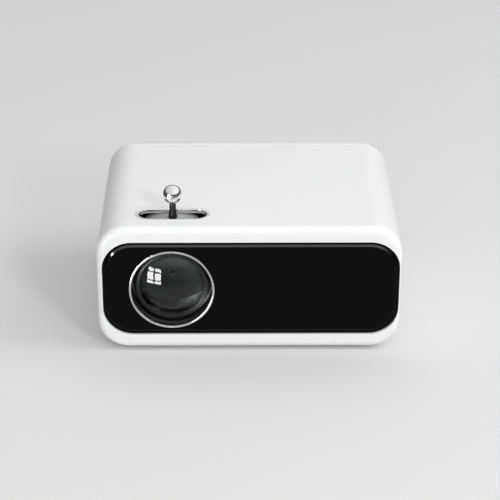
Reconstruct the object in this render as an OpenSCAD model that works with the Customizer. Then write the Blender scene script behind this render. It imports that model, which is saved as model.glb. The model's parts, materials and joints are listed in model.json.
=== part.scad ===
// Compact home projector: a white rounded sleeve with a recessed gloss front, one large
// projection lens on the left and a ball-ended focus lever that slides in a slot on top.
// Millimetres, +Z up, front towards -Y. The origin is on the surface it stands on, under its middle.

/* [Body] */
// Width of the body
body_w = 145; // [145:1:150]
// Depth of the body, front to back
body_d = 110; // [110:1:114]
// Height of the body without its feet
body_h = 64; // [64:1:66]
// Radius of the four long corners
corner_r = 16; // [15:0.5:17]
// Wall thickness of the sleeve
wall = 2; // [1.8:0.1:2.2]
// Rounding of the front edge
front_round = 3.5; // [3:0.5:4]
// Rounding of the rear edge
rear_round = 7; // [6:0.5:8]
// Height that the feet lift the body
foot_h = 1.5; // [1.2:0.1:2]

/* [Front panel] */
// Width of the gloss panel
panel_w = 141; // [138:0.5:141]
// Height of the gloss panel
panel_h = 48.5; // [46:0.5:49]
// Corner radius of the gloss panel
panel_r = 14; // [12:0.5:15]
// Sideways offset of the gloss panel
panel_x = 0.8; // [0:0.1:0.8]

/* [Lens] */
// Sideways place of the lens axis
lens_x = -37; // [-37.4:0.1:-36.6]
// Height of the lens axis above the body's underside
lens_up = 31.4; // [31:0.1:32]
// Outer radius of the silver trim ring
trim_r = 20.4; // [20:0.1:20.4]
// Outer radius of the lens barrel
barrel_r = 17.3; // [17:0.1:17.3]
// Distance that the barrel's face sits behind the body's front
barrel_recess = 4.25; // [4:0.25:5]
// Length of the barrel
barrel_len = 30.75; // [30:0.25:30.75]

/* [Focus lever] */
// Radius of the ball knob
knob_r = 4.6; // [4:0.1:5]
// Distance from the lens axis to the middle of the knob
knob_reach = 42.9; // [42:0.1:44]
// Outer length of the slot's trim
slot_len = 35.4; // [35:0.1:36]
// Outer width of the slot's trim
slot_wid = 13.2; // [13:0.1:13.4]
// Distance from the body's front to the middle of the slot
slot_back = 16; // [16:0.1:16.2]

/* [Cooling] */
// Side of the square exhaust fan
fan_side = 50; // [48:1:50]
// Side of the square fan that cools the display panel
small_fan_side = 40; // [38:1:40]
// Thickness of both fans
fan_t = 10; // [10:0.5:10]
// Number of fins on the heat sink
fin_count = 11; // [8:1:12]

/* [Hidden] */

eps = 0.01;
gap = 0.1;
corner_power = 2.3;
corner_steps = 10;
round_fn = 96;
small_fn = 32;

front_y = -body_d / 2;
rear_y = body_d / 2;
base_z = foot_h;
top_z = foot_h + body_h;
mid_z = foot_h + body_h / 2;
floor_z = base_z + wall;
roof_z = top_z - wall;
lens_z = foot_h + lens_up;

// Front opening and the parts behind it
front_t = 2.6;
panel_recess = 0.5;
panel_edge = 1.2;
panel_drop = 0.6;
panel_z = foot_h + 31.9;
panel_t = 2.1;
frame_y = front_y + front_t + gap;
frame_t = 2;

// Rear cover: its seam, the inside of its back wall
seam_y = rear_y - 8.3;
seam_gap = 0.15;
rear_t = 2.4;
rear_in_y = rear_y - rear_t;

// Focus train, places along Y
slot_y = front_y + slot_back;
slot_x = lens_x + 0.6;
barrel_y = front_y + barrel_recess;
mount_wall = 1.65;
tube_r = barrel_r + 0.05;
tube_out_r = tube_r + mount_wall;
tube_y = front_y + 11;
ring_y = tube_y + 1;
ring_len = 11;
ring_in_r = tube_out_r + 0.05;
ring_out_r = 23.5;
shield_r = 30.9;
shield_t = 1.5;
shield_half_angle = 24;
shield_y0 = front_y + 8;
shield_y1 = front_y + 23.5;
pin_y = ring_y + 5.5;
pin_r = 1.5;

// Optical engine
axis_y = 2;
engine_wall = 1.6;
engine_half = 20;
engine_z0 = lens_z - engine_half;
engine_z1 = lens_z + engine_half;
engine_front = -27;
engine_rear = 31;
engine_right = 30;
engine_left = -60.5;
mirror_t = 2;
mirror_len = 52;
plate_len = 57.6;
plate_h = 39.6;
field_x = -5;
lcd_x = 0;
collimator_x = 6;
heat_glass_x = 10.2;
holder_x = 14.4;
lcd_t = 2.4;
fresnel_t = 1.6;
heat_glass_t = 1.1;
holder_t = 2;
// Every plate's place along X and its thickness, for the grooves that hold it
plates = [[field_x, fresnel_t], [lcd_x, lcd_t], [collimator_x, fresnel_t],
    [heat_glass_x, heat_glass_t], [holder_x, holder_t]];
ears = [[-63.9, -22], [-10, -30.7], [-32, 15.4], [27, 34.6]];
legs = [[-50, -22], [-20, -22], [8, -20], [20, 26]];
ear_r = 2.6;
leg_r = 3;
screw_r = 1.1;
pilot_r = 1.15;
head_r = 2;
head_h = 1.2;

// Light source and cooling
led_x = engine_right + engine_wall;
sink_x = led_x + 1.6;
sink_base = 4;
sink_right = 64;
sink_y0 = -28;
sink_y1 = 34;
sink_z0 = foot_h + 9.5;
sink_z1 = foot_h + 53.5;
fan_x = 40.5;
fan_y = 38;
fan_pitch = fan_side * 0.8;
small_fan_x = 13;
small_fan_y = -43;
small_fan_pitch = small_fan_side * 0.8;

// Electronics
board_y = 36;
board_t = 1.6;
board_x0 = -29;
board_x1 = 14.4;
board_back = board_y + board_t;
board_holes = [[-8, 14.2], [8, 14.2], [-8, 51.6], [8, 51.6]];
port_z = 22;
usb_x = -21;
hdmi_x = -5;
dc_x = 8.6;
audio_z = 33;
button_x = -5;
button_z = 44;
button_r = 4.7;
ir_x = 45;
speaker_x = -47;
speaker_r = 17;

// Underside
foot_r = 6;
foot_sink = 0.8;
foot_places = [[-50, -42], [50, -42], [-50, 38], [50, 38]];
case_screw_places = [[-35, -44], [35, -44], [-35, 40], [35, 40]];
tray_z = floor_z + gap;
tray_t = 2;
tray_top = tray_z + tray_t;
insert_r = 5;

// ---------- shared shapes ----------

// Outline of a rounded rectangle whose corners follow a superellipse
function corner_point(a, r, p) = [r * pow(cos(a), 2 / p), r * pow(sin(a), 2 / p)];
function quarter(r, p) =
    [for (i = [0 : corner_steps]) corner_point(min(90 * i / corner_steps, 90), r, p)];
function turned(points) = [for (i = [len(points) - 1 : -1 : 0]) points[i]];
function outline(w, h, r, p) = let (q = quarter(r, p), x = w / 2 - r, z = h / 2 - r) concat(
    [for (v = q) [x + v[0], z + v[1]]],
    [for (v = turned(q)) [-x - v[0], z + v[1]]],
    [for (v = q) [-x - v[0], -z - v[1]]],
    [for (v = turned(q)) [x + v[0], -z - v[1]]]);

// Stands a flat outline up at (x, z) and thickens it from y0 towards the rear
module slab(x, z, y0, t) {
    translate([x, y0 + t, z]) rotate([90, 0, 0]) linear_extrude(t) children();
}

// Lays a flat outline at height z0 and thickens it upwards
module layer(x, y, z0, t) {
    translate([x, y, z0]) linear_extrude(t) children();
}

// Places a body of revolution with its axis along Y, its profile running rearwards from y0
module along_y(x, z, y0) {
    translate([x, y0, z]) rotate([-90, 0, 0]) children();
}

// Places a body of revolution with its axis along X, its profile running right from x0
module along_x(x0) {
    translate([x0, axis_y, lens_z]) rotate([0, 90, 0]) children();
}

module tube(r_in, r_out, len) {
    difference() {
        cylinder(h = len, r = r_out, $fn = round_fn);
        translate([0, 0, -1]) cylinder(h = len + 2, r = r_in, $fn = round_fn);
    }
}

module box(x0, x1, y0, y1, z0, z1) {
    translate([x0, y0, z0]) cube([x1 - x0, y1 - y0, z1 - z0]);
}

// Outline of a slot with round ends, long side along X
function stadium_points(len, wid, steps) = [for (s = [0, 1], i = [0 : steps])
    let (a = 180 * s - 90 + 180 * i / steps)
    [(1 - 2 * s) * (len - wid) / 2 + wid / 2 * cos(a), wid / 2 * sin(a)]];

module stadium(len, wid) {
    polygon(stadium_points(len, wid, 16));
}

// Body cross-section drawn in by inset
function section_points(inset) =
    outline(body_w - 2 * inset, body_h - 2 * inset, corner_r - inset, corner_power);

module section(inset) {
    polygon(section_points(inset));
}

// A closed skin over a row of cross-sections, each given as [place along Y, inset]
module loft(rings) {
    n = 4 * (corner_steps + 1);
    last = len(rings) - 1;
    points = [for (ring = rings, p = section_points(ring[1])) [p[0], ring[0], mid_z + p[1]]];
    sides = [for (j = [0 : last - 1], i = [0 : n - 1], half = [0, 1])
        let (a = j * n + i, b = j * n + (i + 1) % n)
        half == 0 ? [a, b, b + n] : [a, b + n, a + n]];
    front_cap = [for (i = [n - 1 : -1 : 0]) i];
    rear_cap = [for (i = [0 : n - 1]) last * n + i];
    polyhedron(points = points, faces = concat([front_cap], sides, [rear_cap]));
}

// A slot with round ends, standing upright, cut along Y
module grille_slot(x, z, len, wid, y0, t) {
    slab(x, z, y0, t) rotate(90) polygon(stadium_points(len, wid, 6));
}

// A round patch of upright slots
module round_grille(x, z, r, pitch, wid, y0, t) {
    n = floor(r / pitch);
    for (i = [-n : n]) {
        chord = 2 * sqrt(r * r - pow(i * pitch, 2));
        if (chord > 2 * wid) grille_slot(x + i * pitch, z, chord, wid, y0, t);
    }
}

// A pan-head screw whose head bottom is at the origin, shank along local +Z
module screw(len) {
    translate([0, 0, -head_h]) cylinder(h = head_h, r = head_r, $fn = small_fn);
    cylinder(h = len, r = screw_r, $fn = small_fn);
}

// ---------- casing ----------

module outer_sleeve() color("white") difference() {
    loft(concat([for (a = [0 : 18 : 90])
        [front_y + front_round * (1 - cos(a)), front_round * (1 - sin(a))]], [[seam_y, 0]]));
    slab(0, mid_z, front_y + front_t, seam_y - front_y) section(wall);
    slab(panel_x, panel_z, front_y - 1, front_t + 2)
        polygon(outline(panel_w + 0.5, panel_h + 0.5, panel_r + 0.25, 2));
    layer(slot_x, slot_y, roof_z - 1, wall + 2) stadium(slot_len - 1.9, slot_wid - 1.9);
    // Relief inside the roof for the light shield's sweep
    along_y(lens_x, lens_z, shield_y0 - 0.5)
        cylinder(h = shield_y1 - shield_y0 + 1, r = shield_r + 0.4, $fn = round_fn);
    for (p = foot_places) translate([p[0], p[1], base_z - 1])
        cylinder(h = 1 + foot_sink, r = foot_r + gap, $fn = small_fn);
    for (p = case_screw_places) {
        translate([p[0], p[1], base_z - 1]) cylinder(h = 2, r = head_r + 0.5, $fn = 20);
        translate([p[0], p[1], base_z - 1]) cylinder(h = wall + 2, r = pilot_r + 0.2, $fn = 20);
    }
    translate([0, 0, base_z - 1]) cylinder(h = wall + 2, r = insert_r + gap, $fn = 48);
    for (x = [16 : 4 : 52]) box(x - 1.1, x + 1.1, -33, -9, base_z - 1, floor_z + 1);
}

// Rings of a rounded end that closes at y, starting from an inset, with radius r
function cap_rings(y, inset, r) =
    [for (a = [0 : 15 : 90]) [y - r * (1 - sin(a)), inset + r * (1 - cos(a))]];

module rear_cover() color("white") {
    difference() {
        loft(concat([[seam_y + seam_gap, 0]], cap_rings(rear_y, 0, rear_round)));
        loft(concat([[seam_y - 1, wall]], cap_rings(rear_in_y, wall, rear_round - wall)));
        round_grille(fan_x, lens_z, 21.5, 4.3, 2.4, rear_in_y - 1, rear_t + 2);
        round_grille(speaker_x, lens_z, 13, 3.4, 1.6, rear_in_y - 1, rear_t + 2);
        slab(usb_x, port_z, rear_in_y - 1, rear_t + 2) square([13.8, 6.4], center = true);
        slab(hdmi_x, port_z, rear_in_y - 1, rear_t + 2) square([15.6, 6.4], center = true);
        slab(dc_x, audio_z, rear_in_y - 1, rear_t + 2) circle(r = 3.4, $fn = small_fn);
        slab(dc_x, port_z, rear_in_y - 1, rear_t + 2) circle(r = 4.5, $fn = small_fn);
        slab(button_x, button_z, rear_in_y - 1, rear_t + 2)
            circle(r = button_r + 0.3, $fn = 48);
    }
    for (sx = [-1, 1], sz = [-1, 1]) difference() {
        slab(fan_x + sx * fan_pitch / 2, lens_z + sz * fan_pitch / 2, fan_y + fan_t,
            rear_in_y + 0.3 - fan_y - fan_t) circle(r = 3.2, $fn = 24);
        slab(fan_x + sx * fan_pitch / 2, lens_z + sz * fan_pitch / 2, fan_y + fan_t - 1, 4.6)
            circle(r = pilot_r, $fn = 24);
    }
    // Tongues that slide into the sleeve: drilled ones below, plain ones above
    for (s = [-1, 1]) {
        difference() {
            union() {
                box(s * 35 - 6, s * 35 + 6, 33, seam_y + 4, tray_z, tray_z + 4);
                box(s * 35 - 6, s * 35 + 6, seam_y + 0.4, seam_y + 4, floor_z - 0.3, tray_z + 1);
            }
            translate([s * 35, 40, tray_z - 1]) cylinder(h = 6, r = pilot_r, $fn = 24);
        }
        box(s * 35 - 5, s * 35 + 5, seam_y - 6, seam_y + 4, roof_z - 1.7, roof_z - gap);
        box(s * 35 - 5, s * 35 + 5, seam_y + 0.4, seam_y + 4, roof_z - 1, roof_z + 0.3);
    }
}

module front_panel() color([0.03, 0.03, 0.03]) difference() {
    y = front_y + panel_recess;
    hull() {
        slab(panel_x, panel_z, y, eps) polygon(outline(panel_w - 2 * panel_edge,
            panel_h - 2 * panel_edge, panel_r - panel_edge, 2));
        slab(panel_x, panel_z, y + panel_drop, panel_t - panel_drop)
            polygon(outline(panel_w, panel_h, panel_r, 2));
    }
    along_y(lens_x, lens_z, front_y - 1) cylinder(h = 5, r = trim_r + gap, $fn = round_fn);
}

module front_frame() color([0.1, 0.1, 0.1]) {
    difference() {
        slab(0, mid_z, frame_y, frame_t) section(wall + 0.6);
        along_y(lens_x, lens_z, frame_y - 1) cylinder(h = 4, r = trim_r + gap, $fn = round_fn);
        slab(ir_x, lens_z, frame_y - 1, 4) square([7, 7], center = true);
    }
    for (s = [-1, 1]) difference() {
        box(s * 54 - 2.5, s * 54 + 2.5, frame_y + 1, frame_y + 11, tray_top, tray_top + 2);
        translate([s * 54, frame_y + 7, tray_top - 1]) cylinder(h = 4, r = pilot_r, $fn = 24);
    }
}

module lens_trim_ring() color("silver") along_y(lens_x, lens_z, front_y + 0.1) {
    w = trim_r - 19.4;
    rotate_extrude($fn = round_fn) translate([19.4, 0])
        polygon([[0.25, 0], [w - 0.25, 0], [w, 0.25], [w, 2], [0, 2], [0, 0.25]]);
}

module lens_shroud() color([0.05, 0.05, 0.05]) {
    y0 = front_y + 2.15;
    along_y(lens_x, lens_z, y0) tube(19.4, trim_r, front_y + 10.5 - y0);
    along_y(lens_x, lens_z, frame_y + frame_t + gap) tube(trim_r - eps, 24, 1.4);
}

module slot_trim() color("silver") difference() {
    union() {
        layer(slot_x, slot_y, top_z, 0.3) stadium(slot_len, slot_wid);
        layer(slot_x, slot_y, top_z - 1.3, 1.3 + eps) stadium(slot_len - 2.1, slot_wid - 2.1);
    }
    layer(slot_x, slot_y, top_z - 2, 4) stadium(slot_len - 3.3, slot_wid - 3.3);
}

module rubber_feet() color([0.15, 0.15, 0.15]) {
    for (p = foot_places) translate([p[0], p[1], 0])
        cylinder(h = base_z + foot_sink, r = foot_r, $fn = 48);
}

// ---------- chassis ----------

module chassis_tray() color([0.12, 0.12, 0.12]) {
    difference() {
        union() {
            box(-57.5, 57.5, front_y + 7, 31, tray_z, tray_top);
            box(-24, 24, 30, 44, tray_z, tray_top);
            translate([0, 0, tray_top - eps]) cylinder(h = 4, r = insert_r + 2.5, $fn = 48);
            for (y = [0, 25]) box(42, 57, y, y + 3, tray_top - eps, sink_z0);
        }
        cylinder(h = 20, r = insert_r + 0.05, $fn = 48);
        box(13.5, 54.5, -35, -7, 0, 20);
        for (p = legs) {
            translate([p[0], p[1], 0]) cylinder(h = 20, r = pilot_r, $fn = 24);
            translate([p[0], p[1], 0]) cylinder(h = tray_z + head_h, r = head_r + 0.3, $fn = 24);
        }
        for (s = [-1, 1]) {
            translate([s * 35, -44, 0]) cylinder(h = 20, r = pilot_r, $fn = 24);
            translate([s * 54, frame_y + 7, 0]) cylinder(h = 20, r = pilot_r, $fn = 24);
        }
    }
}

module tripod_insert() color("gold") difference() {
    translate([0, 0, base_z + 0.1]) cylinder(h = 8.4, r = insert_r, $fn = 48);
    translate([0, 0, base_z - 1]) cylinder(h = 8.1, r = 2.55, $fn = 48);
}

module dust_filter() color([0.2, 0.2, 0.2]) box(13.8, 54.2, -34.7, -7.3, tray_z, tray_z + 1.6);

module case_screws() color("dimgray") {
    for (p = case_screw_places) translate([p[0], p[1], base_z + 1]) screw(5);
}

module tray_screws() color("dimgray") {
    for (p = legs) translate([p[0], p[1], tray_z + head_h]) screw(5);
}

module frame_screws() color("dimgray") {
    for (s = [-1, 1]) translate([s * 54, frame_y + 7, tray_top + 2])
        rotate([180, 0, 0]) screw(3.5);
}

// ---------- lens and focus ----------

module lens_mount() color([0.08, 0.08, 0.08]) difference() {
    flange_y = engine_front - engine_wall - 2.5;
    union() {
        slab(lens_x, lens_z, flange_y, 2.5) square([48, 2 * engine_half], center = true);
        along_y(lens_x, lens_z, tube_y)
            cylinder(h = flange_y - tube_y + 1, r = tube_out_r, $fn = round_fn);
    }
    along_y(lens_x, lens_z, tube_y - 1) cylinder(h = 20, r = tube_r, $fn = round_fn);
    for (sx = [-1, 1], sz = [-1, 1]) slab(lens_x + sx * 21, lens_z + sz * 17, flange_y - 1, 5)
        circle(r = pilot_r, $fn = 24);
    // Straight slots that keep the barrel from turning
    for (a = [90, 210, 330]) translate([lens_x, pin_y, lens_z]) rotate([0, a, 0])
        translate([12, -3.7, -1.9]) cube([10, 7.4, 3.8]);
}

module retaining_clip() color("silver") along_y(lens_x, lens_z, tube_y + gap / 2)
    tube(tube_out_r + 0.02, 21.5, ring_y - tube_y - 0.15);

module mount_screws() color("dimgray") {
    for (sx = [-1, 1], sz = [-1, 1])
        along_y(lens_x + sx * 21, lens_z + sz * 17, engine_front - engine_wall - 2.5) screw(4);
}

// A piece of ring seen along Y between two angles from the vertical
module arc_piece(r_in, r_out, half_angle, y0, len) {
    intersection() {
        along_y(lens_x, lens_z, y0) tube(r_in, r_out, len);
        slab(lens_x, lens_z, y0, len) polygon([[0, 0],
            [-2 * r_out * sin(half_angle), 2 * r_out * cos(half_angle)],
            [2 * r_out * sin(half_angle), 2 * r_out * cos(half_angle)]]);
    }
}

module focus_ring() color("gray") difference() {
    union() {
        along_y(lens_x, lens_z, ring_y) tube(ring_in_r, ring_out_r, ring_len);
        arc_piece(ring_out_r - 0.3, shield_r - 1, 9, ring_y, 7);
        arc_piece(shield_r - shield_t, shield_r, shield_half_angle, shield_y0,
            shield_y1 - shield_y0);
    }
    // Inner channel for the guide pins
    along_y(lens_x, lens_z, pin_y - 3.6) cylinder(h = 7.2, r = ring_in_r + 1.8, $fn = round_fn);
    translate([slot_x, slot_y, lens_z + ring_out_r + 1]) cylinder(h = 20, r = 1.55, $fn = 32);
}

module lever_post() color([0.04, 0.04, 0.04]) translate([slot_x, slot_y, lens_z])
    rotate_extrude($fn = 48) polygon([[0, 25], [1.5, 25], [1.5, 30.95], [2.2, 30.95],
        [2.1, 31.6], [1.75, 33.2], [1.6, 35.5], [1.6, 41], [0, 41]]);

module lever_knob() color("silver") translate([slot_x, slot_y, lens_z + knob_reach]) difference() {
    sphere(r = knob_r, $fn = 64);
    translate([0, 0, -knob_r - 1]) cylinder(h = knob_r, r = 1.62, $fn = 48);
    translate([0, 0, -knob_r - 1]) cylinder(h = 1.35, r = knob_r, $fn = 48);
}

module lens_barrel() color([0.05, 0.05, 0.05]) difference() {
    along_y(lens_x, lens_z, barrel_y) rotate_extrude($fn = round_fn) polygon([[16.65, 0],
        [barrel_r - 0.3, 0], [barrel_r, 0.3], [barrel_r, barrel_len], [15.8, barrel_len],
        [15.8, 12], [14.8, 12], [14.8, 9], [16.65, 9]]);
    for (a = [90, 210, 330]) translate([lens_x, pin_y, lens_z]) rotate([0, a, 0])
        rotate([0, 90, 0]) cylinder(h = 20, r = pin_r + 0.02, $fn = 32);
}

module guide_pins() color("gold") {
    for (a = [90, 210, 330]) translate([lens_x, pin_y, lens_z]) rotate([0, a, 0])
        translate([15.9, 0, 0]) rotate([0, 90, 0]) cylinder(h = 4.6, r = pin_r, $fn = 32);
}

module lens_retainer() color([0.07, 0.07, 0.07]) along_y(lens_x, lens_z, barrel_y)
    rotate_extrude($fn = round_fn)
    polygon([[15.5, 1.1], [15.9, 0.2], [16.6, 0.2], [16.6, 1.6], [15.5, 1.6]]);

// Lens parts are measured rearwards from the barrel's face
module front_lens() color([0.6, 0.7, 0.8, 0.5]) intersection() {
    along_y(lens_x, lens_z, barrel_y - 3.2 + 28) sphere(r = 28, $fn = round_fn);
    union() {
        along_y(lens_x, lens_z, barrel_y - 5) cylinder(h = 13.9, r = 15.4, $fn = round_fn);
        along_y(lens_x, lens_z, barrel_y + 1.7) cylinder(h = 7.2, r = 16.55, $fn = round_fn);
    }
}

module middle_lens() color([0.6, 0.7, 0.8, 0.5]) difference() {
    along_y(lens_x, lens_z, barrel_y + 12.05) cylinder(h = 4, r = 15.7, $fn = round_fn);
    along_y(lens_x, lens_z, barrel_y + 14.5 + 35) sphere(r = 35, $fn = round_fn);
}

module lens_spacer() color([0.06, 0.06, 0.06]) along_y(lens_x, lens_z, barrel_y + 16.1)
    tube(14.5, 15.7, 7.8);

module rear_lens() color([0.6, 0.7, 0.8, 0.5]) intersection() {
    along_y(lens_x, lens_z, barrel_y + 23.95) cylinder(h = 5.3, r = 15.7, $fn = round_fn);
    along_y(lens_x, lens_z, barrel_y + 29.2 - 40) sphere(r = 40, $fn = round_fn);
}

module rear_retainer() color([0.06, 0.06, 0.06]) along_y(lens_x, lens_z, barrel_y + 29.25)
    tube(14.2, 15.7, 1.4);

// ---------- optical engine ----------

// Inside outline of the engine seen from above; offset moves every wall outwards
function engine_outline(o) = [[engine_left - o, engine_front - o],
    [engine_right + o, engine_front - o], [engine_right + o, engine_rear + o],
    [engine_rear + o - 42.1 - o * sqrt(2), engine_rear + o],
    [engine_left - o, engine_left - o + 42.1 + o * sqrt(2)]];

// One half of the engine's housing, from its outer floor at z0 over height h; up tells which
module engine_half_shell(z0, h, up) {
    inner_z0 = up ? z0 - 1 : z0 + engine_wall;
    difference() {
        union() {
            layer(0, 0, z0, h) polygon(engine_outline(engine_wall));
            for (p = ears) layer(p[0], p[1], z0, h) circle(r = ear_r, $fn = 24);
            for (s = [-1, 1]) slab(small_fan_x + s * small_fan_pitch / 2,
                lens_z + (up ? 1 : -1) * small_fan_pitch / 2, small_fan_y + fan_t,
                engine_front - small_fan_y - fan_t) circle(r = 2.6, $fn = 24);
            for (p = board_holes) if ((p[1] > lens_z) == up)
                slab(p[0], p[1], engine_rear + 1, board_y - engine_rear - 1)
                    circle(r = 2.6, $fn = 24);
        }
        layer(0, 0, inner_z0, h - engine_wall + 1) polygon(engine_outline(0));
        along_y(lens_x, lens_z, engine_front - 3) cylinder(h = 5, r = barrel_r + 0.5, $fn = 64);
        slab(small_fan_x, lens_z, engine_front - 3, 5) circle(r = 16, $fn = 64);
        along_x(engine_right - 1) cylinder(h = 4, r = 11, $fn = 64);
        box(-4.5, 12.5, engine_rear - 1, engine_rear + 3, lens_z - 11, lens_z + 11);
        for (p = ears) layer(p[0], p[1], z0 - 1, h + 2) circle(r = pilot_r, $fn = 24);
        for (sx = [-1, 1], sz = [-1, 1]) {
            slab(lens_x + sx * 21, lens_z + sz * 17, engine_front - 3, 5)
                circle(r = pilot_r, $fn = 24);
            slab(small_fan_x + sx * small_fan_pitch / 2, lens_z + sz * small_fan_pitch / 2,
                engine_front - 7, 8) circle(r = pilot_r, $fn = 24);
        }
        for (p = board_holes) slab(p[0], p[1], engine_rear - 1, 7) circle(r = pilot_r, $fn = 24);
    }
    // Grooves that hold the plates, on both side walls
    rib_z0 = up ? lens_z + 0.05 : z0 + 1;
    for (p = plates, x = [p[0] - 1.1, p[0] + p[1] + gap]) {
        box(x, x + 1, engine_front - 0.5, engine_front + 1.8, rib_z0, rib_z0 + engine_half);
        box(x, x + 1, engine_rear - 1.8, engine_rear + 0.5, rib_z0, rib_z0 + engine_half);
    }
}

module engine_base() color([0.1, 0.1, 0.1]) {
    engine_half_shell(engine_z0 - engine_wall, engine_half + engine_wall, false);
    for (p = legs) difference() {
        layer(p[0], p[1], tray_top, engine_z0 - tray_top - 0.5) circle(r = leg_r, $fn = 32);
        layer(p[0], p[1], tray_top - 1, 6) circle(r = pilot_r, $fn = 24);
    }
}

module engine_cover() color([0.1, 0.1, 0.1]) {
    engine_half_shell(lens_z, engine_half + engine_wall, true);
}

module engine_screws() color("dimgray") {
    for (p = ears) translate([p[0], p[1], engine_z1 + engine_wall]) rotate([180, 0, 0]) screw(28);
}

module fold_mirror() color([0.8, 0.85, 0.9]) translate([lens_x, axis_y, lens_z - 18])
    rotate([0, 0, 45]) translate([-mirror_len / 2, 0, 0]) cube([mirror_len, mirror_t, 36]);

// A plate across the light path, standing in its groove
module plate(x, t) {
    box(x, x + t, axis_y - plate_len / 2, axis_y + plate_len / 2, lens_z - plate_h / 2,
        lens_z + plate_h / 2);
}

module field_lens() color([0.8, 0.85, 0.9, 0.6]) plate(field_x, fresnel_t);

module lcd_frame() color("silver") difference() {
    plate(lcd_x, lcd_t);
    box(lcd_x - 1, lcd_x + 5, axis_y - 25, axis_y + 25, lens_z - 15, lens_z + 15);
    box(lcd_x + 0.6, lcd_x + 5, axis_y - 26.5, axis_y + 26.5, lens_z - 16.5, lens_z + 16.5);
}

module lcd_panel() color([0.1, 0.12, 0.2])
    box(lcd_x + 0.65, lcd_x + 2.3, axis_y - 26.4, axis_y + 26.4, lens_z - 16.4, lens_z + 16.4);

module collimator_lens() color([0.8, 0.85, 0.9, 0.6]) plate(collimator_x, fresnel_t);

module heat_glass() color([0.7, 0.85, 0.85, 0.5]) plate(heat_glass_x, heat_glass_t);

module condenser_holder() color([0.15, 0.15, 0.15]) difference() {
    plate(holder_x, holder_t);
    along_x(holder_x - 1) cylinder(h = 4, r = 18.3, $fn = round_fn);
}

module condenser_lens() color([0.8, 0.85, 0.9, 0.6]) {
    along_x(holder_x + holder_t + 0.05) cylinder(h = 2, r = 19.3, $fn = round_fn);
    intersection() {
        along_x(holder_x + holder_t + 0.1 + 25.5) sphere(r = 30, $fn = round_fn);
        along_x(holder_x - 6) cylinder(h = 6 + holder_t + 0.1, r = 17.9, $fn = round_fn);
    }
}

module led_reflector() color("white") along_x(holder_x + holder_t + 2.2)
    rotate_extrude($fn = round_fn) polygon([[18, 0], [19.3, 0], [19.3, 1], [13, 10.5],
        [16, 10.5], [16, 11.3], [11.2, 11.3], [11.2, 10.5]]);

module led_module() color("gold") {
    difference() {
        along_x(led_x) translate([-15, -15, 0]) cube([30, 30, 1.5]);
        for (s = [-1, 1]) translate([0, s * 8.6, 0]) along_x(led_x - 1)
            cylinder(h = 4, r = pilot_r, $fn = 24);
    }
    along_x(led_x - 0.8) cylinder(h = 1, r = 6, $fn = 48);
}

module led_screws() color("dimgray") {
    for (s = [-1, 1]) translate([0, s * 8.6, 0]) along_x(led_x) screw(4.5);
}

module heat_sink() color("silver") {
    difference() {
        box(sink_x, sink_x + sink_base, sink_y0, sink_y1, sink_z0, sink_z1);
        for (s = [-1, 1]) translate([0, s * 8.6, 0]) along_x(sink_x - 1)
            cylinder(h = 4.6, r = pilot_r, $fn = 24);
    }
    pitch = (sink_z1 - sink_z0 - 1.1) / (fin_count - 1);
    for (i = [0 : fin_count - 1]) box(sink_x + sink_base - eps, sink_right, sink_y0, sink_y1,
        sink_z0 + i * pitch, sink_z0 + i * pitch + 1.1);
}

// ---------- fans ----------

// A square fan frame with its face at the origin and air moving along +Z
module fan_frame(side) {
    r = side * 0.47;
    hub = side * 0.24;
    difference() {
        translate([-side / 2, -side / 2, 0]) cube([side, side, fan_t]);
        translate([0, 0, -1]) cylinder(h = fan_t + 2, r = r, $fn = round_fn);
        for (sx = [-1, 1], sy = [-1, 1]) translate([sx * side * 0.4, sy * side * 0.4, -1])
            cylinder(h = fan_t + 2, r = 1.6, $fn = 24);
    }
    difference() {
        union() {
            translate([0, 0, fan_t - 1.4]) cylinder(h = 1.4, r = hub, $fn = 64);
            translate([0, 0, 3]) cylinder(h = fan_t - 3.5, r = 3.4, $fn = 48);
            for (a = [30, 150, 270]) rotate([0, 0, a])
                translate([hub - 1, -1.2, fan_t - 1.4]) cube([r - hub + 1.8, 2.4, 1.4]);
        }
        translate([0, 0, 2]) cylinder(h = fan_t - 3, r = 1.55, $fn = 48);
    }
}

// The rotor: a cup with a shaft, and blades set at an angle
module fan_rotor(side) {
    r = side * 0.47 - 0.8;
    hub = side * 0.24;
    h = fan_t - 2.4;
    difference() {
        translate([0, 0, 0.5]) cylinder(h = h, r = hub, $fn = 64);
        translate([0, 0, 1.7]) cylinder(h = h, r = hub - 1.2, $fn = 64);
    }
    translate([0, 0, 1]) cylinder(h = fan_t - 2.5, r = 1.5, $fn = 48);
    intersection() {
        translate([0, 0, 0.6]) tube(hub - 0.5, r, h - 0.4);
        for (i = [0 : 6]) rotate([0, 0, i * 360 / 7]) translate([hub - 1, 0, h / 2 + 0.5])
            rotate([42, 0, 0]) translate([0, -7, -0.5]) cube([r, 14, 1]);
    }
}

module exhaust_fan_frame() color([0.07, 0.07, 0.07]) along_y(fan_x, lens_z, fan_y)
    fan_frame(fan_side);

module exhaust_fan_rotor() color([0.12, 0.12, 0.12]) along_y(fan_x, lens_z, fan_y)
    fan_rotor(fan_side);

module small_fan_frame() color([0.07, 0.07, 0.07]) along_y(small_fan_x, lens_z, small_fan_y)
    fan_frame(small_fan_side);

module small_fan_rotor() color([0.12, 0.12, 0.12]) along_y(small_fan_x, lens_z, small_fan_y)
    fan_rotor(small_fan_side);

module fan_screws() color("dimgray") {
    for (sx = [-1, 1], sz = [-1, 1]) {
        along_y(fan_x + sx * fan_pitch / 2, lens_z + sz * fan_pitch / 2, fan_y) screw(fan_t + 3);
        along_y(small_fan_x + sx * small_fan_pitch / 2, lens_z + sz * small_fan_pitch / 2,
            small_fan_y) screw(fan_t + 4);
    }
}

// ---------- electronics ----------

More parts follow.
